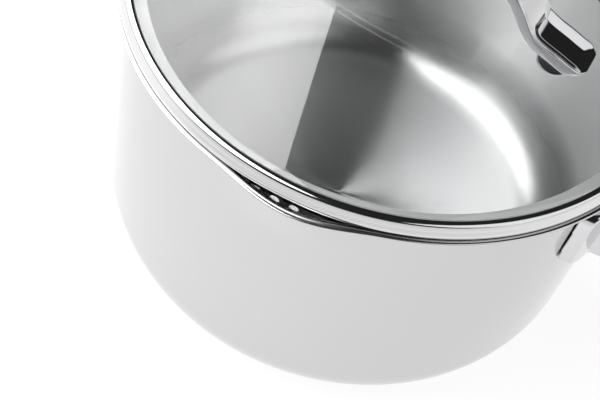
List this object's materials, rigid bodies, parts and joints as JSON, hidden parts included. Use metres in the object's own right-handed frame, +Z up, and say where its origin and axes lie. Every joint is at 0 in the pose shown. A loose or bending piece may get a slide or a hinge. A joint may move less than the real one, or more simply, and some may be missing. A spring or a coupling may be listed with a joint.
{
  "type": "saucepan with glass lid",
  "caption": "Round steel saucepan with a long riveted handle, a helper loop, pouring lips and a domed glass straining lid in a steel rim with an arched strap handle.",
  "frame": {"origin": "centre of the underside of the disc base, on the surface the pan stands on", "axes": "+Z up, long handle along -X, helper handle along +X, pouring lips along -Y and +Y"},
  "size_m": [0.438, 0.2208, 0.1733],
  "materials": {
    "steel_body": "satin outside, circular brushed inside",
    "steel_polished": "mirror polished",
    "steel_brushed": "fine turned",
    "aluminium": "matt",
    "glass": "clear tempered",
    "silicone": "matt"
  },
  "bodies": {
    "pan": {"pan_body": "steel_body", "base_core": "aluminium", "base_cap": "steel_brushed", "helper_handle": "steel_polished", "long_handle": "steel_polished", "helper_rivet_1": "steel_brushed", "helper_rivet_2": "steel_brushed", "long_rivet_1": "steel_brushed", "long_rivet_2": "steel_brushed", "long_rivet_3": "steel_brushed"},
    "lid": {"lid_rim": "steel_polished", "lid_seal": "silicone", "lid_glass": "glass", "lid_handle": "steel_polished", "lid_spacer_1": "silicone", "lid_spacer_2": "silicone", "lid_grommet_1": "silicone", "lid_grommet_2": "silicone", "lid_washer_1": "steel_brushed", "lid_washer_2": "steel_brushed", "lid_screw_1": "steel_brushed", "lid_screw_2": "steel_brushed"}
  },
  "joints": [
    {"name": "lid_lift", "type": "slide", "parent": "pan", "child": "lid", "axis": [0, 0, 1], "range_m": [0, 0.12]}
  ]
}
